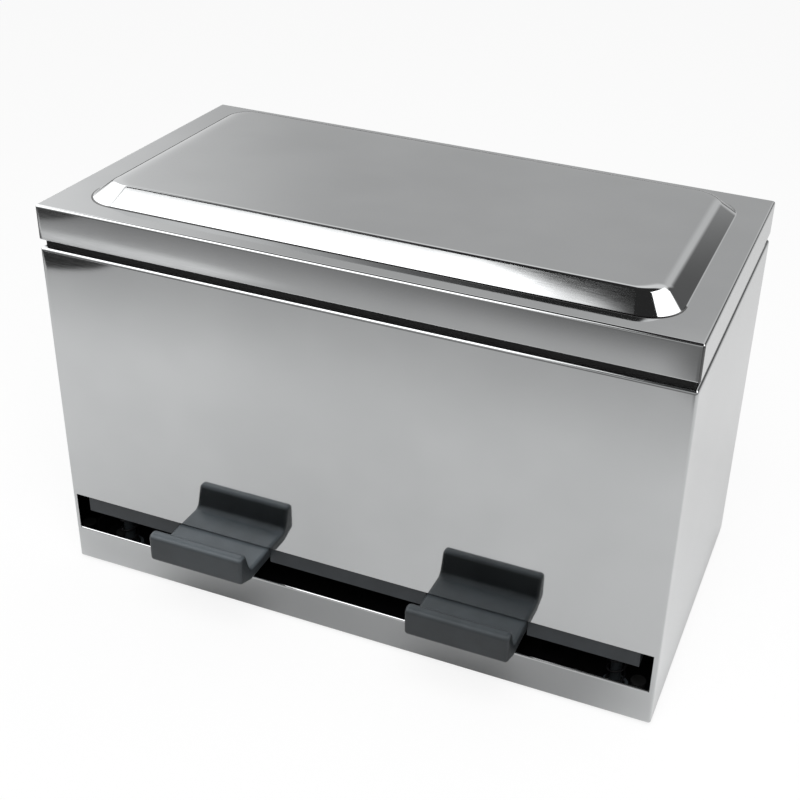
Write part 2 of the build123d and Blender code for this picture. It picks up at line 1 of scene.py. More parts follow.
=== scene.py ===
"""Looks of a stainless chopstick box with a flip lid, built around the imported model.

The lid, the case, both press cradles and both return springs get finer meshes of their
own. Every other CAD node stays as it is and gets a procedural material.
"""
import json
import math

import bmesh
import bpy
from mathutils import Matrix, Vector


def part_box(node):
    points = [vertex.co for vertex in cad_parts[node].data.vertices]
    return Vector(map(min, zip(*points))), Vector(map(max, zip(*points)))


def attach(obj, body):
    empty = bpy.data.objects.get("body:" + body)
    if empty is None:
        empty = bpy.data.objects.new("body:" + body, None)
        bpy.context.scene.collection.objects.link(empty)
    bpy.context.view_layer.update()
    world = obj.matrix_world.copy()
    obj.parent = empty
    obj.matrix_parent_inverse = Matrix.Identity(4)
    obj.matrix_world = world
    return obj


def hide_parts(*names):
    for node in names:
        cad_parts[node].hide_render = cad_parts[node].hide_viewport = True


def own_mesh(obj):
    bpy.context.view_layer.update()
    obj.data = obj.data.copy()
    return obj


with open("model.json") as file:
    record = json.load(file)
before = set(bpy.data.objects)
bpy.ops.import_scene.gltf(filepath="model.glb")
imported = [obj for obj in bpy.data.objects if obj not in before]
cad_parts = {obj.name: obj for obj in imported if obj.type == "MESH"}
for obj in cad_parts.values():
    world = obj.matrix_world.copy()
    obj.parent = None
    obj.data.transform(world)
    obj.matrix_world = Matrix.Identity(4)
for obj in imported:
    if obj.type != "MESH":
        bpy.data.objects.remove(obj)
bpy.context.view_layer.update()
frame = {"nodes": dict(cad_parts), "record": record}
nodes = frame["nodes"]

# ---- camera -----------------------------------------------------------------------------
# Its place is in metres from the middle of the width, the front's outer face and the
# case's lower edge. Its angles are in degrees, its lens and sensor in millimetres.
FRONT_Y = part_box("case_shell")[0].y
CASE_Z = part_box("case_shell")[0].z
CAMERA_AT = (0.1972, -0.3990, 0.3907)
CAMERA_AZIMUTH = 18.87
CAMERA_ELEVATION = 29.15
CAMERA_ROLL = 3.16
CAMERA_LENS = 57.94
CAMERA_SENSOR = 36.0
CAMERA_SHIFT = (-0.1125, -0.0525)
CAMERA_NEAREST = 0.01


def put_camera():
    """Camera at the photograph's viewing angle."""
    data = bpy.data.cameras.new("camera")
    data.lens = CAMERA_LENS
    data.sensor_width = CAMERA_SENSOR
    data.sensor_fit = "HORIZONTAL"
    data.shift_x, data.shift_y = CAMERA_SHIFT
    data.clip_start = CAMERA_NEAREST
    camera = bpy.data.objects.new("camera", data)
    bpy.context.scene.collection.objects.link(camera)
    azimuth, elevation = math.radians(CAMERA_AZIMUTH), math.radians(CAMERA_ELEVATION)
    turn = (Matrix.Rotation(azimuth, 4, "Z")
            @ Matrix.Rotation(math.pi / 2 - elevation, 4, "X")
            @ Matrix.Rotation(math.radians(CAMERA_ROLL), 4, "Z"))
    eye = Vector(CAMERA_AT) + Vector((0, FRONT_Y, CASE_Z))
    camera.matrix_world = Matrix.Translation(eye) @ turn
    bpy.context.scene.camera = camera


# ---- node helpers -----------------------------------------------------------------------
# A value is a socket or a number. An edge is (value, start, end), where start may be the
# higher of the two.
def add(tree, kind, **settings):
    """New node with its settings."""
    node = tree.nodes.new(kind)
    for key, value in settings.items():
        setattr(node, key, value)
    return node


def feed(tree, socket, value):
    """Links a socket, or sets a number or colour, on an input."""
    if isinstance(value, bpy.types.NodeSocket):
        tree.links.new(value, socket)
    else:
        socket.default_value = value


def calc(tree, operation, first, second=0.0):
    """Result of one sum on values."""
    node = add(tree, "ShaderNodeMath", operation=operation)
    feed(tree, node.inputs[0], first)
    feed(tree, node.inputs[1], second)
    return node.outputs[0]


def product(tree, first, *others):
    """Product of values."""
    for other in others:
        first = calc(tree, "MULTIPLY", first, other)
    return first


def length(tree, x, y):
    """Length of a flat vector."""
    squares = calc(tree, "ADD", calc(tree, "MULTIPLY", x, x), calc(tree, "MULTIPLY", y, y))
    return calc(tree, "SQRT", squares)


def step(tree, value, start, end, kind="SMOOTHSTEP"):
    """Step from 0 at start to 1 at end."""
    node = add(tree, "ShaderNodeMapRange", interpolation_type=kind)
    feed(tree, node.inputs["Value"], value)
    backwards = start > end
    node.inputs["From Min"].default_value = end if backwards else start
    node.inputs["From Max"].default_value = start if backwards else end
    node.inputs["To Min"].default_value = 1.0 if backwards else 0.0
    node.inputs["To Max"].default_value = 0.0 if backwards else 1.0
    return node.outputs["Result"]


def window(tree, *edges):
    """1 past the end of every edge, fading to 0 at the start of each."""
    return product(tree, *[step(tree, *edge) for edge in edges])


def blend(tree, factor, low, high):
    """Value between low and high."""
    node = add(tree, "ShaderNodeMix", data_type="FLOAT")
    feed(tree, node.inputs[0], factor)
    feed(tree, node.inputs[2], low)
    feed(tree, node.inputs[3], high)
    return node.outputs[0]


def fade(tree, edge, before, after):
    """Goes from one value to another across an edge."""
    return blend(tree, step(tree, *edge), before, after)


def blend_colour(tree, factor, low, high):
    """Colour between low and high."""
    node = add(tree, "ShaderNodeMix", data_type="RGBA")
    feed(tree, node.inputs[0], factor)
    feed(tree, node.inputs[6], low if isinstance(low, bpy.types.NodeSocket) else (*low, 1))
    feed(tree, node.inputs[7], high if isinstance(high, bpy.types.NodeSocket) else (*high, 1))
    return node.outputs[2]


def axes(tree, output):
    """X, Y and Z of a texture coordinate."""
    split = add(tree, "ShaderNodeSeparateXYZ")
    tree.links.new(add(tree, "ShaderNodeTexCoord").outputs[output], split.inputs[0])
    return split.outputs


def noise(tree, scale, stretch=(1, 1, 1), detail=4.0, rough=0.6):
    """Noise on the object's own coordinates, stretched along its grain."""
    where = add(tree, "ShaderNodeTexCoord")
    mapping = add(tree, "ShaderNodeMapping")
    mapping.inputs["Scale"].default_value = stretch
    texture = add(tree, "ShaderNodeTexNoise")
    texture.inputs["Scale"].default_value = scale
    texture.inputs["Detail"].default_value = detail
    texture.inputs["Roughness"].default_value = rough
    tree.links.new(where.outputs["Object"], mapping.inputs["Vector"])
    tree.links.new(mapping.outputs["Vector"], texture.inputs["Vector"])
    return texture.outputs["Fac"]


def spread(tree, value):
    """Noise pulled out to the whole range from 0 to 1."""
    return step(tree, value, 0.3, 0.7)


def bumps(tree, height, strength, distance, below=None):
    """Bump normal from a height, on top of another bump."""
    node = add(tree, "ShaderNodeBump")
    node.inputs["Strength"].default_value = strength
    node.inputs["Distance"].default_value = distance
    tree.links.new(height, node.inputs["Height"])
    if below is not None:
        tree.links.new(below, node.inputs["Normal"])
    return node.outputs["Normal"]


def new_material(name):
    """Material with its node tree and Principled shader."""
    material = bpy.data.materials.new(name)
    material.use_nodes = True
    tree = material.node_tree
    shader = next(n for n in tree.nodes if n.type == "BSDF_PRINCIPLED")
    return material, tree, shader


# ---- materials --------------------------------------------------------------------------
# Noise scales are per metre, the depths of bumps in metres.
STEEL_CLOUDS, STEEL_WAVES, STEEL_GRAIN = 11, 9, 60
GRAIN_STRETCH = (2, 60, 60)
GRAIN_SHARE = 0.3         # of the grain in the steel's tone, beside the clouds
GRAIN_DEPTH, WAVE_DEPTH = 0.0001, 0.001
PLASTIC_CLOUDS, PLASTIC_TEXTURE = 60, 2600
TEXTURE_STRENGTH, TEXTURE_DEPTH = 0.12, 0.0001
TOP_LIGHT_FACING = (0.2, 0.95)   # of the normal's upward share, where the painted light on upward faces starts and is full


def sheet_steel(name, dark, light, rough, wave=0.0, relief=0.04):
    """Stainless steel: faint clouding, fine sideways grain, slightly wavy where it is sheet."""
    material, tree, shader = new_material(name)
    shader.inputs["Metallic"].default_value = 1.0
    cloud = spread(tree, noise(tree, STEEL_CLOUDS, detail=3))
    lines = noise(tree, STEEL_GRAIN, GRAIN_STRETCH, detail=5, rough=0.7)
    tone = calc(tree, "ADD", product(tree, cloud, 1 - GRAIN_SHARE), product(tree, lines, GRAIN_SHARE))
    feed(tree, shader.inputs["Base Color"], blend_colour(tree, tone, dark, light))
    feed(tree, shader.inputs["Roughness"], blend(tree, spread(tree, lines), *rough))
    normal = bumps(tree, lines, relief, GRAIN_DEPTH)
    if wave:
        swell = noise(tree, STEEL_WAVES, detail=1, rough=0.3)
        normal = bumps(tree, swell, wave, WAVE_DEPTH, normal)
    feed(tree, shader.inputs["Normal"], normal)
    return material


def plastic(name, dark, light, rough, shine=0.5, painted_top_light=1.0):
    """Moulded plastic with a fine spark-eroded texture, and painted light that makes it paler where
    it faces up.
    """
    material, tree, shader = new_material(name)
    shader.inputs["Specular IOR Level"].default_value = shine
    cloud = spread(tree, noise(tree, PLASTIC_CLOUDS, detail=3))
    colour = blend_colour(tree, cloud, dark, light)
    # painted light: faces that point up get a paler colour, as if lit from above
    if painted_top_light != 1.0:
        facing = add(tree, "ShaderNodeSeparateXYZ")
        tree.links.new(add(tree, "ShaderNodeNewGeometry").outputs["Normal"], facing.inputs[0])
        painted_lit_colour = blend_colour(tree, cloud, [painted_top_light * c for c in dark], [painted_top_light * c for c in light])
        colour = blend_colour(tree, step(tree, facing.outputs[2], *TOP_LIGHT_FACING), colour, painted_lit_colour)
    feed(tree, shader.inputs["Base Color"], colour)
    fine = noise(tree, PLASTIC_TEXTURE, detail=2)
    feed(tree, shader.inputs["Roughness"], blend(tree, spread(tree, fine), *rough))
    feed(tree, shader.inputs["Normal"], bumps(tree, fine, TEXTURE_STRENGTH, TEXTURE_DEPTH))
    return material


# Colours, roughness and finish by material. The springs and the base are black finishes on
# steel, which look like a matt plastic; kept near-black and dull, they are also painted shade for the
# inside of the slot.
STEELS = {
    "polished_sheet": dict(
        dark=(0.57, 0.58, 0.585), light=(0.64, 0.65, 0.655), rough=(0.04, 0.07),
        wave=0.02, relief=0.004),
    # painted shade: near-black steel for a dark line along the lid panel's foot and at the skirt's
    # front right corner
    "painted_crease_shade": dict(dark=(0.1, 0.1, 0.1), light=(0.14, 0.14, 0.14), rough=(0.15, 0.2)),
    "satin_sheet": dict(dark=(0.46, 0.47, 0.48), light=(0.54, 0.55, 0.56), rough=(0.3, 0.42)),
    "hinge_steel": dict(dark=(0.5, 0.5, 0.51), light=(0.58, 0.58, 0.59), rough=(0.2, 0.32)),
    "bright_steel": dict(dark=(0.62, 0.62, 0.63), light=(0.7, 0.7, 0.71), rough=(0.12, 0.2)),
    "rivet_metal": dict(dark=(0.6, 0.6, 0.61), light=(0.68, 0.68, 0.69), rough=(0.25, 0.35)),
}
PLASTICS = {
    "spring_steel": dict(
        dark=(0.006, 0.006, 0.007), light=(0.01, 0.01, 0.011), rough=(0.45, 0.55), shine=0.2),
    "black_base": dict(
        dark=(0.004, 0.004, 0.004), light=(0.006, 0.006, 0.007), rough=(0.6, 0.7), shine=0.15),
    # painted shade: a darker copy of the plastic for the recessed gate bar
    "gate": dict(dark=(0.015, 0.018, 0.021), light=(0.02, 0.024, 0.028), rough=(0.45, 0.55)),
    # the cradles' plastic, with painted light on its upward faces
    "dark_plastic": dict(
        dark=(0.023, 0.027, 0.03), light=(0.029, 0.034, 0.038), rough=(0.34, 0.44),
        shine=0.45, painted_top_light=2.8),
    # painted shade: a darker copy of the cradles' plastic for the right cradle, with less painted
    # light on top
    "shaded_cradle_plastic": dict(
        dark=(0.018, 0.021, 0.023), light=(0.023, 0.027, 0.03), rough=(0.36, 0.46),
        shine=0.4, painted_top_light=2.0),
    # near-black; on the case's collar it is painted shade for the gap under the lid
    "lining": dict(dark=(0.004, 0.004, 0.004), light=(0.007, 0.007, 0.007), rough=(0.8, 0.9)),
    "rubber": dict(dark=(0.02, 0.02, 0.02), light=(0.03, 0.03, 0.03), rough=(0.6, 0.75)),
}
MATERIALS = {name: sheet_steel(name, **looks) for name, looks in STEELS.items()}
MATERIALS.update({name: plastic(name, **looks) for name, looks in PLASTICS.items()})


def dress_nodes():
    """Gives every CAD node the material of its slot, and the gate bar a darker plastic as painted
    shade of its recess.
    """
    for entry in frame["record"]["subparts"]:
        node = nodes[entry["node"]]
        node.data.materials.clear()
        node.data.materials.append(MATERIALS[entry["material_slot"]])
    # painted shade: the recessed gate bar gets the darker plastic
    nodes["gate_bar"].data.materials[0] = MATERIALS["gate"]


# ---- mesh helpers, in millimetres from the middle, the front face and the lower edge -----
HOLD = 0.12               # how far outside a bend a point keeps the flat beside it flat
DOUBLES = 2e-6            # metres within which points are one
SHARP = 32                # degrees from which an edge stays sharp


def place(x, y, z):
    """Point of the object in the row frame, from millimetres."""
    return (x / 1000, FRONT_Y + y / 1000, CASE_Z + z / 1000)


def corners_of(node):
    """Lowest and highest corners of a CAD node, in millimetres to the hundredth."""
    return [(round(1000 * corner.x, 2),
             round(1000 * (corner.y - FRONT_Y), 2),
             round(1000 * (corner.z - CASE_Z), 2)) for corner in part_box(node)]


def find_arc(corners, at):
    """Arc that rounds corner at of a closed line: directions, half angle, middle and ends."""
    here, radius = Vector(corners[at][:2]), corners[at][2]
    back = (Vector(corners[at - 1][:2]) - here).normalized()
    on = (Vector(corners[(at + 1) % len(corners)][:2]) - here).normalized()
    half = back.angle(on) / 2
    reach = radius / math.tan(half)
    middle = here + (back + on).normalized() * (radius / math.sin(half))
    return back, on, half, middle, here + back * reach, here + on * reach


def bend(corners):
    """Profile of (inset, height) points through corners of (inset, height, radius, steps).

    A point is kept just outside each bend, so that the flats stay flat in the shading.
    """
    points = []
    for at, (inset, height, radius, steps) in enumerate(corners):
        if radius == 0:
            points.append((inset, height))
            continue
        back, on, half, middle, first, last = find_arc(corners, at)
        points.append(tuple(first + back * HOLD))
        turn = math.pi - 2 * half
        start = first - middle
        side = 1 if start.x * (last - middle).y - start.y * (last - middle).x > 0 else -1
        for k in range(steps + 1):
            angle = side * turn * k / steps
            points.append((
                middle.x + start.x * math.cos(angle) - start.y * math.sin(angle),
                middle.y + start.x * math.sin(angle) + start.y * math.cos(angle)))
        points.append(tuple(last + on * HOLD))
    return points


def rounded_outline(corners, inset, steps=7):
    """Closed outline of (y, z) through corners of (y, z, radius), moved inwards by an inset."""
    points = []
    for at, (_, _, radius) in enumerate(corners):
        back, on, _, middle, first, last = find_arc(corners, at)
        bulges = back.x * on.y - back.y * on.x < 0
        size = radius - inset if bulges else radius + inset
        start = math.atan2((first - middle).y, (first - middle).x)
        end = math.atan2((last - middle).y, (last - middle).x)
        turn = (end - start + math.pi) % (2 * math.pi) - math.pi
        for k in range(steps + 1):
            angle = start + turn * k / steps
            points.append((middle.x + size * math.cos(angle), middle.y + size * math.sin(angle)))
    return points


def skin(count, rings):
    """Faces between closed rings of count points each, and the two faces that end them."""
    faces = []
    for k in range(rings - 1):
        for n in range(count):
            m = (n + 1) % count
            faces.append((k * count + n, k * count + m, (k + 1) * count + m, (k + 1) * count + n))
    return faces + [tuple(range(count)), tuple(range((rings - 1) * count, rings * count))]


def shade(mesh, sharp):
    """Smooth shading with sharp edges kept."""
    mesh.shade_smooth()
    mesh.set_sharp_from_angle(angle=math.radians(sharp))


def make_mesh(name, points, faces, materials, which=None, sharp=SHARP):
    """Object from points in millimetres. Which is the number of each face's material."""
    mesh = bpy.data.meshes.new(name)
    mesh.from_pydata([place(*p) for p in points], [], faces)
    for material in materials:
        mesh.materials.append(MATERIALS[material])
    if which:
        mesh.polygons.foreach_set("material_index", which)
    work = bmesh.new()
    work.from_mesh(mesh)
    bmesh.ops.remove_doubles(work, verts=work.verts, dist=DOUBLES)
    bmesh.ops.recalc_face_normals(work, faces=work.faces)
    work.to_mesh(mesh)
    work.free()
    shade(mesh, sharp)
    item = bpy.data.objects.new(name, mesh)
    bpy.context.scene.collection.objects.link(item)
    return item


def loft(name, rings, materials=()):
    """Closed object through rings of (x, outline) with as many (y, z) points each."""
    points = [(x, y, z) for x, outline in rings for y, z in outline]
    return make_mesh(name, points, skin(len(rings[0][1]), len(rings)), materials)


def combine(item, others):
    """Cuts the other objects from an item, or adds them to it, and deletes them."""
    for operation, other in others:
        change = item.modifiers.new(other.name, "BOOLEAN")
        change.operation, change.object, change.solver = operation, other, "EXACT"
    graph = bpy.context.evaluated_depsgraph_get()
    mesh = bpy.data.meshes.new_from_object(item.evaluated_get(graph))
    item.modifiers.clear()
    item.data = mesh
    for _, other in others:
        bpy.data.objects.remove(other)
    shade(mesh, SHARP)


# ---- lid and case, in the same millimetres -----------------------------------------------
HALF_WIDTH, DEPTH, COLLAR_TOP = corners_of("case_shell")[1]
SKIRT_BOTTOM, PANEL_TOP = [corner[2] for corner in corners_of("lid")]
OPEN_LINE = 3.5           # between the case's top and the skirt
CASE_TOP = SKIRT_BOTTOM - OPEN_LINE
SHEET = 0.8
PANEL_RISE, PANEL_RUN = 7.0, 9.0
LID_TOP, PITCH = PANEL_TOP - PANEL_RISE, PANEL_RISE / PANEL_RUN
PANEL_MIDDLE = 60.0       # inset at which the panel is flat
# the panel's front, side and back: inset of its slope's foot and of its crown, and the
# power with which the crown falls away
FRONT_SLOPE, SIDE_SLOPE, BACK_SLOPE = (11, 24, 6), (13, 33, 4), (11, 28, 4)
FOOT_BEND, EDGE_BEND, HEM_BEND, INSIDE_BEND = 1.3, 1.25, 0.4, 0.3
CROWN_STEPS, FOOT_STEPS, EDGE_STEPS, HEM_STEPS = 28, 8, 10, 5
CROWDING = 1.6            # how much the crown's points crowd where it is steep
CROWN_HOLD = 0.15         # as HOLD, where the crown meets the slope
# how much further in than the foot the slope's underside starts and ends
UNDER_FOOT, UNDER_CROWN = 0.3, 12.0
# Corners seen from above: the skirt's, the panel's at its foot, how much smaller it gets for
# each mm further in, and the smallest of each. Loops up to the rim's inset are the skirt's.
SKIRT_RADIUS, PANEL_RADIUS, SHRINK = 1.0, 15.0, 0.6
LEAST_SKIRT_RADIUS, LEAST_PANEL_RADIUS = 0.4, 4.0
RIM = 4.0
LID_CORNER = 12           # steps round a corner of the lid
SLOT_LOW, SLOT_HIGH, SLOT_END = 16.8, 35.3, HALF_WIDTH - 2.2
ROLL_LOW, ROLL_HIGH, ROLL_STEPS = 1.0, 0.35, 8   # how far the slot's edges roll in
COLLAR, COLLAR_BACK = 2.0, DEPTH - 7.0
BOTTOM_BEND, TOP_BEND, LEDGE_BEND, INNER_BEND = 0.25, 1.5, 0.2, 0.1
SLOT_HOLD = 0.3           # as HOLD, above and below the slot
CASE_RADIUS, LEAST_CASE_RADIUS = 1.2, 0.15
CASE_CORNER = 10          # steps round a corner of the case


def lid_section(foot, start, power):
    """Section through one side of the lid, from the panel out to the skirt and back inside.

    The crown falls away from inset start, ever steeper with the power, until it meets the
    straight slope at inset top. The slope ends at inset foot.
    """
    mean = PITCH / (power + 1)
    top = (PANEL_RISE + PITCH * foot - mean * start) / (PITCH - mean)
    corners = [(PANEL_MIDDLE, PANEL_TOP, 0, 0)]
    for k in range(CROWN_STEPS, -1, -1):
        share = (k / CROWN_STEPS) ** CROWDING
        fall = PITCH * (start - top) / (power + 1) * (1 - share) ** (power + 1)
        corners.append((top + share * (start - top), PANEL_TOP - fall, 0, 0))
    corners.append((top - CROWN_HOLD, corners[-1][1] - CROWN_HOLD * PITCH, 0, 0))
    return bend(corners + [
        (foot, LID_TOP, FOOT_BEND, FOOT_STEPS),
        (0, LID_TOP, EDGE_BEND, EDGE_STEPS),
        (0, SKIRT_BOTTOM, HEM_BEND, HEM_STEPS),
        (SHEET, SKIRT_BOTTOM, INSIDE_BEND, 3),
        (SHEET, LID_TOP - SHEET, INSIDE_BEND, 3),
        (foot + UNDER_FOOT, LID_TOP - SHEET, 0.4, 3),
        (foot + UNDER_CROWN, PANEL_TOP - SHEET, 2, 3),
        (PANEL_MIDDLE, PANEL_TOP - SHEET, 0, 0)])


def lid_loop(front, side, back):
    """Closed loop round the lid, from its (inset, height) at the front, sides and back.

    It starts at the front right corner. A point is kept on the straight 1 mm outside each
    corner, as in bend().
    """
    inset = side[0]
    if inset < RIM:
        radius = max(SKIRT_RADIUS - inset, LEAST_SKIRT_RADIUS)
    else:
        radius = max(PANEL_RADIUS - SHRINK * (inset - SIDE_SLOPE[0]), LEAST_PANEL_RADIUS)
    x = HALF_WIDTH - inset - radius
    y_front, y_back = front[0] + radius, DEPTH - back[0] - radius
    heights = (front[1], side[1], back[1], side[1])
    loop = []
    for corner in range(4):
        sign = 1 if corner in (0, 1) else -1
        y = y_front if corner in (0, 3) else y_back
        for k in range(-1, LID_CORNER + 2):
            share = min(max(k / LID_CORNER, 0), 1)
            hold = k - share * LID_CORNER
            angle = math.pi / 2 * (corner - 1 + share)
            height = heights[corner] * (1 - share) + heights[(corner + 1) % 4] * share
            loop.append((sign * x + radius * math.cos(angle) - hold * math.sin(angle),
                         y + radius * math.sin(angle) + hold * math.cos(angle), height))
    return loop


def make_lid():
    """Lid pressed from one sheet: soft bends at the panel's ends, tight ones in front."""
    sections = [lid_section(*slope) for slope in (FRONT_SLOPE, SIDE_SLOPE, BACK_SLOPE)]
    points = [p for ring in zip(*sections) for p in lid_loop(*ring)]
    corner = LID_CORNER + 3
    count = 4 * corner
    faces = skin(count, len(sections[0]))
    # painted shade: the foot's bend, along the front and round both front corners, gets near-black
    # steel as a dark line
    foot = CROWN_STEPS + 4
    painted_crease_shade = [foot <= n // count < foot + FOOT_STEPS and not corner - 1 <= n % count < 3 * corner
              for n in range(len(faces))]
    # painted shade too: a dark line at the skirt's front right corner, from the last rows of the
    # edge's bend to the first rows of the hem's
    fold = foot + FOOT_STEPS + 3 + EDGE_STEPS
    for row in range(fold - 3, fold + 5):
        painted_crease_shade[row * count + 2:row * count + LID_CORNER] = [True] * (LID_CORNER - 2)
    item = make_mesh("lid_sheet", points, faces, ["polished_sheet", "painted_crease_shade"], painted_crease_shade)
    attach(item, "lid")
    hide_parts("lid")


def case_path(inset, height, back):
    """Line round the left side, the front and the right side at an inset and a height."""
    radius = max(CASE_RADIUS - inset, LEAST_CASE_RADIUS)
    x, y = HALF_WIDTH - inset - radius, inset + radius
    line = [(inset - HALF_WIDTH, back, height), (inset - HALF_WIDTH, y + 1, height)]
    for k in range(CASE_CORNER + 1):
        angle = math.pi * (1 + 0.5 * k / CASE_CORNER)
        line.append((-x + radius * math.cos(angle), y + radius * math.sin(angle), height))
    end = min(SLOT_END, x - 0.01)
    line += [(-end, inset, height), (end, inset, height)]
    for k in range(CASE_CORNER + 1):
        angle = math.pi * (1.5 + 0.5 * k / CASE_CORNER)
        line.append((x + radius * math.cos(angle), y + radius * math.sin(angle), height))
    return line + [(HALF_WIDTH - inset, y + 1, height), (HALF_WIDTH - inset, back, height)]


def slot_edges(first, low, high):
    """Points from number first and faces of the slot's edges, which roll in from the front."""
    points, faces = [], []
    for k in range(ROLL_STEPS + 1):
        angle = math.pi / 2 * k / ROLL_STEPS
        y = SHEET * (1 - math.cos(angle))
        bottom, top = low + ROLL_LOW * math.sin(angle), high - ROLL_HIGH * math.sin(angle)
        points += [(-SLOT_END, y, bottom), (SLOT_END, y, bottom),
                   (SLOT_END, y, top), (-SLOT_END, y, top)]
    for k in range(ROLL_STEPS):
        for n in range(4):
            m = (n + 1) % 4
            here, on = first + 4 * k, first + 4 * (k + 1)
            faces.append((here + n, here + m, on + m, on + n))
    return points, faces


def make_case():
    """Front and sides in one sheet, with a slot, rolled edges, a ledge and a collar painted
    near-black as the shade in the gap under the lid.
    """
    low, high = SLOT_LOW - ROLL_LOW, SLOT_HIGH + ROLL_HIGH
    profile = bend([
        (0, 0, BOTTOM_BEND, 3),
        (0, low - SLOT_HOLD, 0, 0), (0, low, 0, 0), (0, high, 0, 0), (0, high + SLOT_HOLD, 0, 0),
        (0, CASE_TOP, TOP_BEND, 12), (COLLAR, CASE_TOP, LEDGE_BEND, 3),
        (COLLAR, COLLAR_TOP, LEDGE_BEND, 3), (COLLAR + SHEET, COLLAR_TOP, LEDGE_BEND, 3),
        (COLLAR + SHEET, CASE_TOP - SHEET, LEDGE_BEND, 3),
        (SHEET, CASE_TOP - SHEET, INNER_BEND, 2),
        (SHEET, SLOT_HIGH, 0, 0), (SHEET, SLOT_LOW, 0, 0), (SHEET, 0, INNER_BEND, 2)])
    slot_rows = [{low, high}, {SLOT_LOW, SLOT_HIGH}]
    slot_column = CASE_CORNER + 3
    points, faces, which = [], [], []
    for inset, height in profile:
        back = DEPTH if inset < SHEET + INNER_BEND else COLLAR_BACK
        points += case_path(inset, height, back)
    count = 2 * (CASE_CORNER + 4)
    rings = len(profile)
    for k in range(rings):
        after = (k + 1) % rings
        # the collar's outside, with the ledge's end next to it, gets the near-black lining as painted
        # shade of the gap under the lid
        in_gap_shade = all(COLLAR - 0.6 < inset < COLLAR + 0.1 and height > CASE_TOP - 0.5
                    for inset, height in (profile[k], profile[after]))
        for n in range(count - 1):
            if n == slot_column and {profile[k][1], profile[after][1]} in slot_rows:
                continue
            faces.append((k * count + n, k * count + n + 1, after * count + n + 1, after * count + n))
            which.append(1 if in_gap_shade else 0)
    for n in (0, count - 1):
        faces.append(tuple(k * count + n for k in range(rings)))
        which.append(0)
    edge_points, edge_faces = slot_edges(len(points), low, high)
    points += edge_points
    faces += edge_faces
    which += [0] * len(edge_faces)
    item = make_mesh("case_sheet", points, faces, ["polished_sheet", "lining"], which)
    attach(item, "case")
    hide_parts("case_shell")


# ---- press cradles and return springs, in the same millimetres ---------------------------
GATE_TOP, PLATE = corners_of("gate_bar")[1][2], 6.0
# y of the lip's outer face, the trough's line and the tongue's end
REACH, TROUGH, TONGUE = -23.3, -15.0, 15.8
# how far the plate's top and underside fall towards the trough
DIP, UNDER_DIP = 0.6, 0.4
# the lip's thickness, its rise over the gate, its top's fall outwards and its chin
LIP, LIP_RISE, LIP_FALL, CHIN = 4.8, 9.9, 0.3, 2.6
# the foot's thickness, its inset from the cradle's ends and its lap with the tongue
FOOT_THICK, FOOT_INSET, FOOT_LAP = 3.0, 1.9, 0.5
# the pockets below: walls, ribs between them, how many, and y of their rear
WALL, RIB, BAYS, BAY_BACK = 2.4, 1.6, 3, -1.0
# the round of a cradle's ends, and as HOLD beside it
END_ROUND, END_HOLD, END_STEPS = 1.5, 0.3, 6
SPRING_FOOT = 2.8
# radii of a spring's coil and of its wire, its turns, and heights of the first and the last
COIL, WIRE, TURNS = 3.9, 0.48, 5
FIRST_TURN, LAST_TURN = SPRING_FOOT + 0.5, GATE_TOP - 3.5
TURN_STEPS, WIRE_STEPS = 24, 8


def make_cradle(name, node, material):
    """Press cradle: plate, trough and lip with rounded edges, pockets below and a foot."""
    (left, _, _), (right, back, _) = corners_of(node)
    middle, half = (left + right) / 2, (right - left) / 2
    top, under = GATE_TOP + LIP_RISE, GATE_TOP - PLATE
    corners = [
        (TONGUE, GATE_TOP, 1.9), (TROUGH, GATE_TOP - DIP, 3.0),
        (REACH + LIP, top, 2.1), (REACH, top - LIP_FALL, 2.4), (REACH, under + CHIN, 2.1),
        (TROUGH, under - UNDER_DIP, 3.0), (TONGUE, under, 1.9)]
    # from an end inwards: distance from the middle, and how far the outline moves in
    stations = [(half, END_ROUND + END_HOLD)]
    for k in range(END_STEPS + 1):
        angle = math.pi / 2 * (1 - k / END_STEPS)
        stations.append((half - END_ROUND * (1 - math.sin(angle)), END_ROUND * (1 - math.cos(angle))))
    stations.append((half - END_ROUND - END_HOLD, 0))
    rings = [(middle - x, rounded_outline(corners, inset)) for x, inset in stations]
    rings += [(middle + x, rounded_outline(corners, inset)) for x, inset in reversed(stations)]
    item = loft(name, rings, [material])
    core_top, below = top - 1.5 * WALL, under - WALL
    core = [(BAY_BACK, below), (BAY_BACK, GATE_TOP - WALL), (TROUGH, GATE_TOP - DIP - WALL),
            (REACH + LIP - WALL / 2, core_top), (REACH + WALL, core_top), (REACH + WALL, below)]
    bay = (2 * (half - WALL) - (BAYS - 1) * RIB) / BAYS
    others = []
    for i in range(BAYS):
        start = left + WALL + i * (bay + RIB)
        others.append(("DIFFERENCE", loft(f"{name}_bay_{i}", [(start, core), (start + bay, core)])))
    foot = [(TONGUE - FOOT_LAP, under), (back, under),
            (back, under + FOOT_THICK), (TONGUE - FOOT_LAP, under + FOOT_THICK)]
    ends = [(left + FOOT_INSET, foot), (right - FOOT_INSET, foot)]
    others.append(("UNION", loft(f"{name}_foot", ends)))
    combine(item, others)
    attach(item, "rocker")
    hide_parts(node)


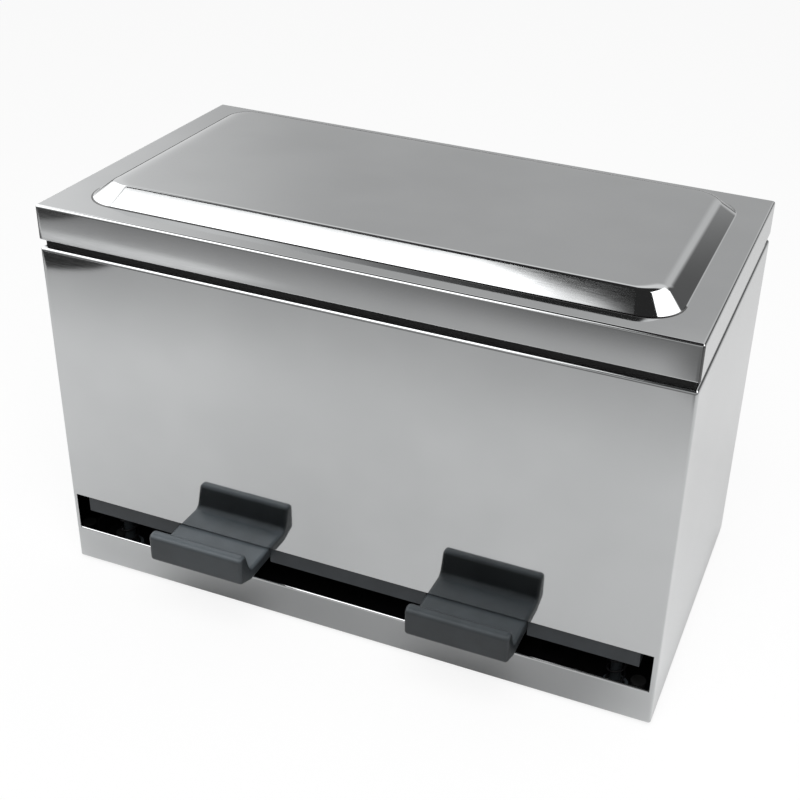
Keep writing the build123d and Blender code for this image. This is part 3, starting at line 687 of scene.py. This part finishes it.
def make_spring(name, side, node):
    """Coil of round wire between its cup and the gate.

    It stands in the middle of its cup, on side 1 or -1. The cups are as wide as they are deep.
    """
    (_, front, _), (right, back, _) = corners_of("spring_seats")
    middle, depth = side * (right - (back - front) / 2), (front + back) / 2
    steps = TURN_STEPS * TURNS
    points = []
    for k in range(steps + 1):
        angle = 2 * math.pi * k / TURN_STEPS
        height = FIRST_TURN + (LAST_TURN - FIRST_TURN) * k / steps
        for n in range(WIRE_STEPS):
            around = 2 * math.pi * n / WIRE_STEPS
            out = COIL + WIRE * math.cos(around)
            points.append((middle + out * math.cos(angle), depth + out * math.sin(angle),
                           height + WIRE * math.sin(around)))
    item = make_mesh(name, points, skin(WIRE_STEPS, steps + 1), ["spring_steel"], sharp=50)
    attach(item, "case")
    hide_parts(node)
    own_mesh(item)


# ---- studio -----------------------------------------------------------------------------
# The steel mirrors a room that only mirror rays see. There a turn is in degrees from +Y
# towards +X, a rise is height over distance, and across and along are places in a plane one
# metre up. On the floor, places are in metres. Other numbers are levels, where 1 is white.
AROUND = 0.5              # what matt surfaces get from all round
SOFTBOX, SOFTBOX_DIM = 2.6, 1.45
BRIGHT, DARK = 0.95, 0.13
WALL_CHANGES = ((-43, -26, 0.52), (-2, 9, 0.7), (14, 23, DARK), (55, 85, 1.0))
LEAST = 0.02              # keeps a place or rise finite near the horizon and overhead
FLOOR, FLOOR_SIZE = 0.95, 12.0
FLOOR_GLOW = 0.86         # share of plain white in the floor that the camera sees
# Ellipses on the floor, painted dark and bright patches that only the steel mirrors: middle, half
# lengths, softness of the rim, level
FLOOR_SPOTS = (
    ((-0.43, -0.41), (0.045, 0.03), 0.1, 0.06),
    ((0.125, -0.39), (0.045, 0.055), 0.4, 0.16),
    ((-0.32, -0.362), (0.11, 0.008), 0.4, 0.9))


def room_behind(tree, turn, rise, across):
    """Wall behind the object, a strip above it, a dark ceiling and a dim band at the horizon."""
    wall = BRIGHT
    for start, end, level in WALL_CHANGES:
        wall = fade(tree, (turn, start, end), wall, level)
    strip = fade(tree, (turn, 14, 30), BRIGHT, DARK)
    ceiling = fade(tree, (across, -0.55, -0.33), 0.14, 0.03)
    sky = fade(tree, (rise, 0.5, 0.62), wall, strip)
    sky = fade(tree, (rise, 0.85, 1.0), sky, ceiling)
    aside = calc(tree, "ABSOLUTE", turn)
    band = window(tree, (rise, 0.12, 0.06), (aside, 100, 80), (turn, -30, -22))
    return blend(tree, band, sky, 0.2)


def room_in_front(tree, sky, y, turn, rise):
    """Room behind the camera, grey below and dark above, with a bright opening to the left."""
    front = window(tree, (y, 0.02, -0.06), (rise, 2.6, 2.0))
    sky = blend(tree, front, sky, fade(tree, (rise, 0.5, 0.75), 0.45, 0.04))
    left = window(tree, (turn, -50, -60), (turn, -150, -120), (rise, 0.08, 0.16), (rise, 1.5, 1.1))
    return blend(tree, left, sky, SOFTBOX)


def softboxes(tree, sky, across, along):
    """Softbox overhead, with a slanting rear edge and a dark right end, and one to the right."""
    slant = step(tree, across, -0.325, -0.188, kind="LINEAR")
    rear = blend(tree, slant, -0.2105, -0.2295)
    edge = step(tree, calc(tree, "SUBTRACT", along, rear), 0.0025, -0.0025)
    nearer = calc(tree, "MAXIMUM", step(tree, along, -0.9, -0.7), step(tree, across, -0.36, -0.42))
    overhead = product(
        tree, edge, nearer, step(tree, along, -1.7, -1.4), step(tree, across, -3.2, -2.6))
    level = fade(tree, (across, -0.3, -0.24), SOFTBOX, SOFTBOX_DIM)
    level = fade(tree, (across, -0.238, -0.185), level, 0.04)
    sky = blend(tree, overhead, sky, level)
    right = window(
        tree, (across, 0.345, 0.36), (along, 1.5, 1.2), (along, -0.6, -0.4), (across, 1.6, 1.3))
    return blend(tree, right, sky, SOFTBOX)


def put_world():
    """White background, and for mirror rays a studio with a wall, softboxes and dark ceiling."""
    world = bpy.data.worlds.new("studio")
    bpy.context.scene.world = world
    world.use_nodes = True
    tree = world.node_tree
    x, y, z = axes(tree, "Generated")
    high = calc(tree, "MAXIMUM", z, LEAST)
    rise = calc(tree, "DIVIDE", z, calc(tree, "MAXIMUM", length(tree, x, y), LEAST))
    across = calc(tree, "DIVIDE", x, high)
    along = calc(tree, "DIVIDE", y, high)
    turn = calc(tree, "MULTIPLY", calc(tree, "ARCTAN2", x, y), 180 / math.pi)
    sky = room_behind(tree, turn, rise, across)
    sky = room_in_front(tree, sky, y, turn, rise)
    sky = softboxes(tree, sky, across, along)
    below = fade(tree, (y, 0.0, -0.1), 0.9, 0.15)
    sky = fade(tree, (z, 0.0, -0.02), sky, below)
    path = add(tree, "ShaderNodeLightPath")
    seen = blend(tree, path.outputs["Is Glossy Ray"], 1.0, sky)
    plain = calc(tree, "MAXIMUM", path.outputs["Is Camera Ray"], path.outputs["Is Glossy Ray"])
    plain = calc(tree, "MAXIMUM", plain, path.outputs["Is Transmission Ray"])
    back = next(n for n in tree.nodes if n.type == "BACKGROUND")
    back.inputs["Color"].default_value = (1, 1, 1, 1)
    feed(tree, back.inputs["Strength"], blend(tree, plain, AROUND, seen))


def spot(tree, x, y, middle, size, soft):
    """1 inside an ellipse on the floor, fading to 0."""
    across = calc(tree, "DIVIDE", calc(tree, "SUBTRACT", x, middle[0]), size[0])
    along = calc(tree, "DIVIDE", calc(tree, "SUBTRACT", y, middle[1]), size[1])
    return step(tree, length(tree, across, along), 1 + soft, 1 - soft)


def mirrored_floor(tree, x, y):
    """Level of the floor that the steel mirrors, darker by zones towards the camera, with a painted
    shadow strip and painted dark and bright patches.
    """
    near = fade(tree, (x, -0.26, -0.03), 0.86, 0.72)
    far = fade(tree, (x, -0.25, 0.0), 0.27, 0.18)
    level = fade(tree, (y, -0.22, -0.36), near, 0.50)
    level = fade(tree, (y, -0.355, -0.41), level, far)
    level = fade(tree, (y, -0.055, -0.075), 0.88, level)
    # painted shadow: a darker strip of floor just in front of the slot, which the steel below the
    # slot mirrors
    strip = window(tree, (y, -0.095, -0.08), (y, -0.055, -0.064), (x, -0.13, -0.04), (x, 0.15, 0.1))
    level = blend(tree, strip, level, 0.45)
    # painted shade: a near-black patch in front to the left, which the steel mirrors as a dark
    # reflection
    painted_dark_spot = spot(tree, x, y, (-0.375, -0.345), (0.06, 0.03), 0.08)
    level = blend(tree, product(tree, painted_dark_spot, step(tree, y, -0.352, -0.346)), level, 0.03)
    for middle, size, soft, inside in FLOOR_SPOTS:
        level = blend(tree, spot(tree, x, y, middle, size, soft), level, inside)
    return fade(tree, (x, -0.42, -0.47), level, 0.1)


def put_floor():
    """White floor, which falls off in front of the object in what the steel mirrors."""
    bpy.ops.mesh.primitive_plane_add(size=FLOOR_SIZE)
    floor = bpy.context.object
    floor.name = "floor"
    material, tree, shader = new_material("floor")
    x, y, _ = axes(tree, "Object")
    path = add(tree, "ShaderNodeLightPath")
    level = blend(tree, path.outputs["Is Glossy Ray"], 1.0, mirrored_floor(tree, x, y))
    level = calc(tree, "MULTIPLY", level, FLOOR)
    feed(tree, shader.inputs["Base Color"], blend_colour(tree, level, (0, 0, 0), (1, 1, 1)))
    shader.inputs["Roughness"].default_value = 0.9
    shader.inputs["Specular IOR Level"].default_value = 0.0
    glow = add(tree, "ShaderNodeEmission")
    mix = add(tree, "ShaderNodeMixShader")
    out = next(n for n in tree.nodes if n.type == "OUTPUT_MATERIAL")
    feed(tree, mix.inputs[0], calc(tree, "MULTIPLY", path.outputs["Is Camera Ray"], FLOOR_GLOW))
    tree.links.new(shader.outputs[0], mix.inputs[1])
    tree.links.new(glow.outputs[0], mix.inputs[2])
    tree.links.new(mix.outputs[0], out.inputs["Surface"])
    floor.data.materials.append(material)


def put_lamp(name, at, target, size, power):
    """Soft rectangular lamp that faces a target and shows in no mirror."""
    data = bpy.data.lights.new(name, "AREA")
    data.shape = "RECTANGLE"
    data.size, data.size_y = size
    data.energy = power
    lamp = bpy.data.objects.new(name, data)
    bpy.context.scene.collection.objects.link(lamp)
    lamp.rotation_euler = (Vector(target) - Vector(at)).to_track_quat("-Z", "Y").to_euler()
    lamp.location = at
    lamp.visible_glossy = False
    lamp.visible_camera = False


put_camera()
dress_nodes()
make_lid()
make_case()
make_cradle("left_cradle_moulding", "left_cradle", "dark_plastic")
# the right cradle gets the darker copy of the plastic, as painted shade
make_cradle("right_cradle_moulding", "right_cradle", "shaded_cradle_plastic")
make_spring("left_spring_coil", -1, "left_return_spring")
make_spring("right_spring_coil", 1, "right_return_spring")
put_floor()
put_world()
put_lamp("key", at=(0.3, -0.7, 1.3), target=(0, 0, 0.05), size=(1.0, 1.0), power=16)
bpy.context.scene.view_settings.view_transform = "Standard"
